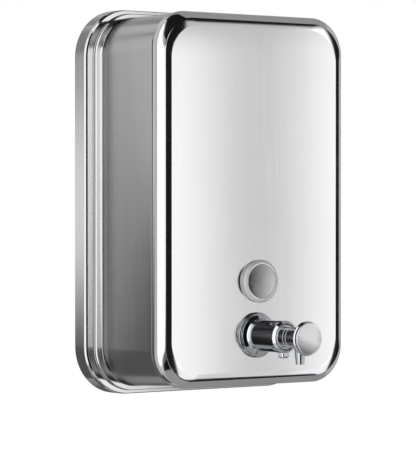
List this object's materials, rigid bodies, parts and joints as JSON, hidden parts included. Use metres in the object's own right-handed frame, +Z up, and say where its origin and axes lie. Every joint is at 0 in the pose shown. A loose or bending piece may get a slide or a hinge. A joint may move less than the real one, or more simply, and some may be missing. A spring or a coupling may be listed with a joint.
{
  "type": "wall mounted soap dispenser",
  "caption": "Upright steel soap dispenser on a wall bracket, with a lid on top for filling, a round sight window and a chrome push valve whose button carries the nozzle.",
  "frame": {"origin": "centre of the rear rim, in the wall plane", "axes": "+X to the right seen from the front, +Y into the wall, +Z up"},
  "size_m": [0.115, 0.0843, 0.16],
  "materials": {
    "tank_steel": "satin polished stainless steel",
    "mirror_steel": "mirror polished stainless steel",
    "plain_steel": "plain rolled stainless sheet",
    "chrome_plate": "bright chrome plating",
    "satin_bezel": "satin nickel",
    "smoked_lens": "clear smoke-tinted acrylic",
    "seal_rubber": "matt moulded rubber",
    "pump_plastic": "moulded acetal",
    "nut_brass": "machined brass",
    "spring_steel": "drawn stainless wire"
  },
  "bodies": {
    "tank": {"body_shell": "tank_steel", "front_cover": "mirror_steel", "back_plate": "plain_steel", "wall_bracket": "plain_steel", "hanger_rail": "plain_steel", "locking_screw": "plain_steel", "fill_neck": "plain_steel", "lid_hinge_leaf": "plain_steel", "lid_hinge_pin": "plain_steel", "window_gasket": "seal_rubber", "window_bezel": "satin_bezel", "window_lens_seal": "seal_rubber", "window_lens": "smoked_lens", "window_inner_gasket": "seal_rubber", "window_nut": "pump_plastic", "valve_outer_gasket": "seal_rubber", "valve_body": "chrome_plate", "valve_inner_gasket": "seal_rubber", "valve_washer": "plain_steel", "valve_lock_nut": "nut_brass", "end_collar": "chrome_plate", "stem_seal": "seal_rubber", "collar_screw": "chrome_plate", "return_spring": "spring_steel", "inlet_elbow": "pump_plastic", "dip_tube": "pump_plastic", "tube_strainer": "pump_plastic"},
    "lid": {"fill_lid": "tank_steel", "lid_gasket": "seal_rubber"},
    "plunger": {"plunger_stem": "chrome_plate", "push_button": "mirror_steel", "spout_nozzle": "chrome_plate", "piston_head": "pump_plastic", "piston_ring": "seal_rubber", "outlet_spring": "spring_steel"},
    "outlet_check": {"outlet_ball": "spring_steel"},
    "inlet_check": {"inlet_ball": "spring_steel"}
  },
  "joints": [
    {"name": "button_press", "type": "slide", "parent": "tank", "child": "plunger", "axis": [0, 1, 0], "range_m": [0, 0.0055], "stiffness_N_per_m": 450, "springref_m": -0.004, "deforming": ["return_spring"]},
    {"name": "lid_hinge", "type": "hinge", "parent": "tank", "child": "lid", "pos_m": [0, -0.01302, 0.07831], "axis": [-1, 0, 0], "range_deg": [0, 100]},
    {"name": "outlet_lift", "type": "slide", "parent": "plunger", "child": "outlet_check", "axis": [0, -1, 0], "range_m": [0, 0.0012], "stiffness_N_per_m": 60, "springref_m": -0.001, "deforming": ["outlet_spring"]},
    {"name": "inlet_lift", "type": "slide", "parent": "tank", "child": "inlet_check", "axis": [0, 0, 1], "range_m": [0, 0.0015]}
  ]
}
